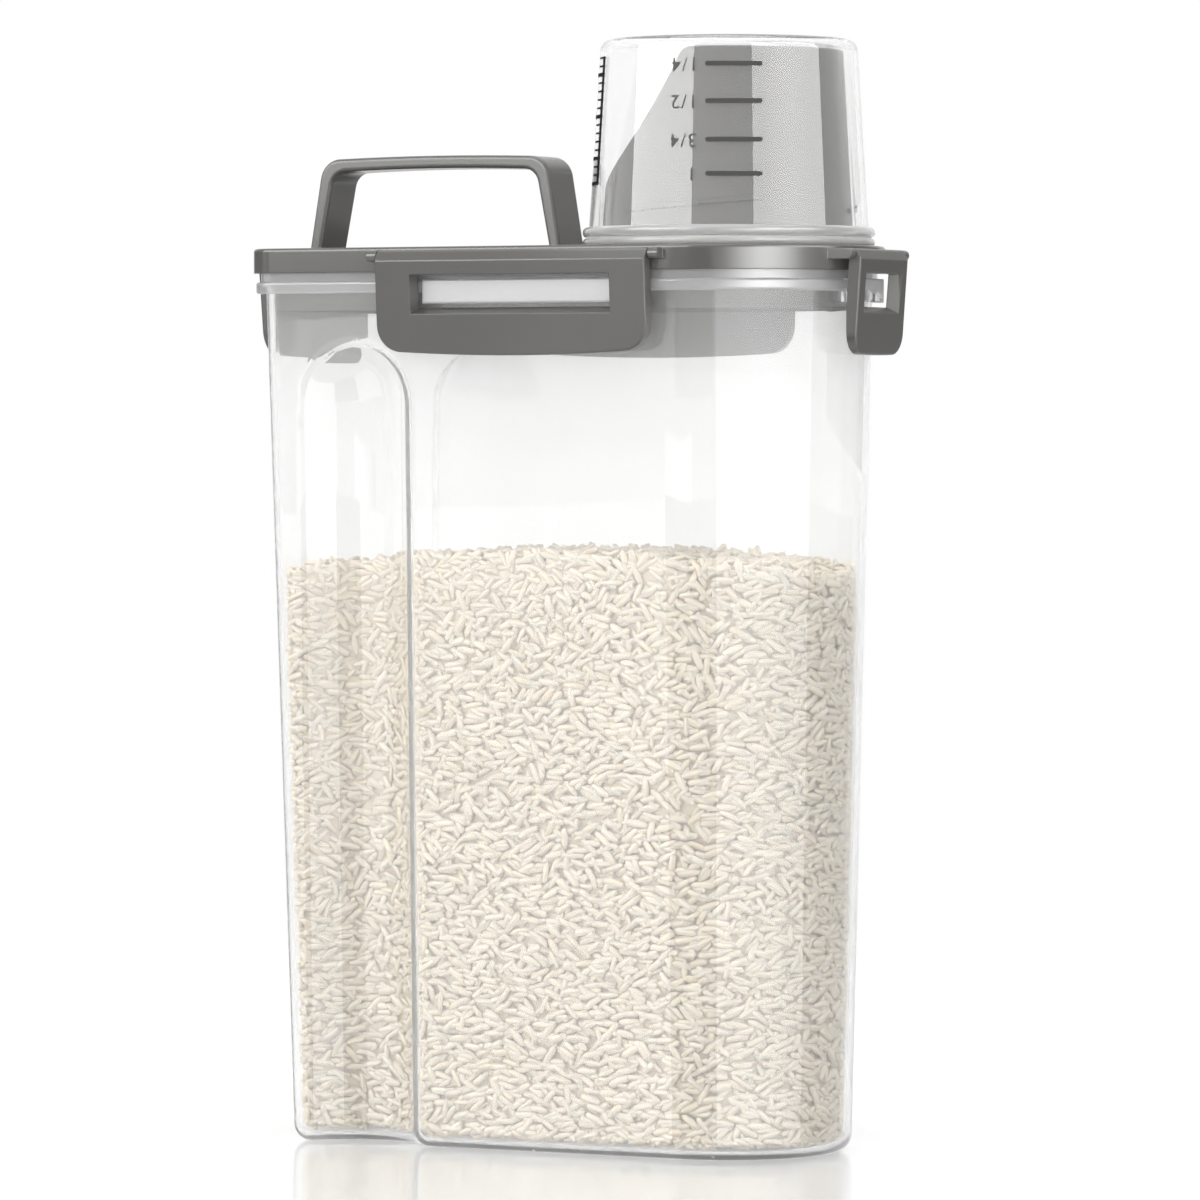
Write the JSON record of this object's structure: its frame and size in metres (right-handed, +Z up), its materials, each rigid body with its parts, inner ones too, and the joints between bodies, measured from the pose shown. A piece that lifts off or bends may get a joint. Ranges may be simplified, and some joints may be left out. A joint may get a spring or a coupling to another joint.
{
  "type": "rice container",
  "caption": "Clear tall rice keeper with a latched lid, strap handle, slanted pour spout and a measuring cup that caps the spout.",
  "frame": {"origin": "under the middle of the whole object, on the surface it stands on", "axes": "+Z up, +X towards the spout end, -Y the front that the picture shows"},
  "size_m": [0.1852, 0.0968, 0.311],
  "materials": {
    "clear_plastic": "clear, glossy",
    "grey_plastic": "satin warm grey",
    "silicone": "soft translucent",
    "rice": "dry grains",
    "pin_steel": "plain wire"
  },
  "bodies": {
    "tub": {"tub": "clear_plastic", "rice_fill": "rice"},
    "lid": {"lid": "grey_plastic", "lid_gasket": "silicone", "handle": "grey_plastic", "pour_spout": "grey_plastic", "spout_seal": "silicone", "hinge_pin_front": "pin_steel", "hinge_pin_rear": "pin_steel", "hinge_pin_spout_end": "pin_steel", "hinge_pin_grip_end": "pin_steel"},
    "cup": {"measuring_cup": "clear_plastic"},
    "latch_front": {"latch_front": "grey_plastic"},
    "latch_rear": {"latch_rear": "grey_plastic"},
    "latch_spout_end": {"latch_spout_end": "grey_plastic"},
    "latch_grip_end": {"latch_grip_end": "grey_plastic"}
  },
  "joints": [
    {"name": "lid_lift", "type": "slide", "parent": "tub", "child": "lid", "axis": [0, 0, 1], "range_m": [0, 0.025]},
    {"name": "cup_lift", "type": "slide", "parent": "lid", "child": "cup", "axis": [0, 0, 1], "range_m": [0, 0.075]},
    {"name": "latch_front_flip", "type": "hinge", "parent": "lid", "child": "latch_front", "pos_m": [0, -0.0456, 0.2506], "axis": [-1, 0, 0], "range_deg": [-3.5, 120]},
    {"name": "latch_rear_flip", "type": "hinge", "parent": "lid", "child": "latch_rear", "pos_m": [0, 0.0456, 0.2506], "axis": [1, 0, 0], "range_deg": [-3.5, 120]},
    {"name": "latch_spout_end_flip", "type": "hinge", "parent": "lid", "child": "latch_spout_end", "pos_m": [0.0898, 0, 0.2506], "axis": [0, -1, 0], "range_deg": [-3.5, 120]},
    {"name": "latch_grip_end_flip", "type": "hinge", "parent": "lid", "child": "latch_grip_end", "pos_m": [-0.0898, 0, 0.2506], "axis": [0, 1, 0], "range_deg": [-3.5, 120]}
  ]
}
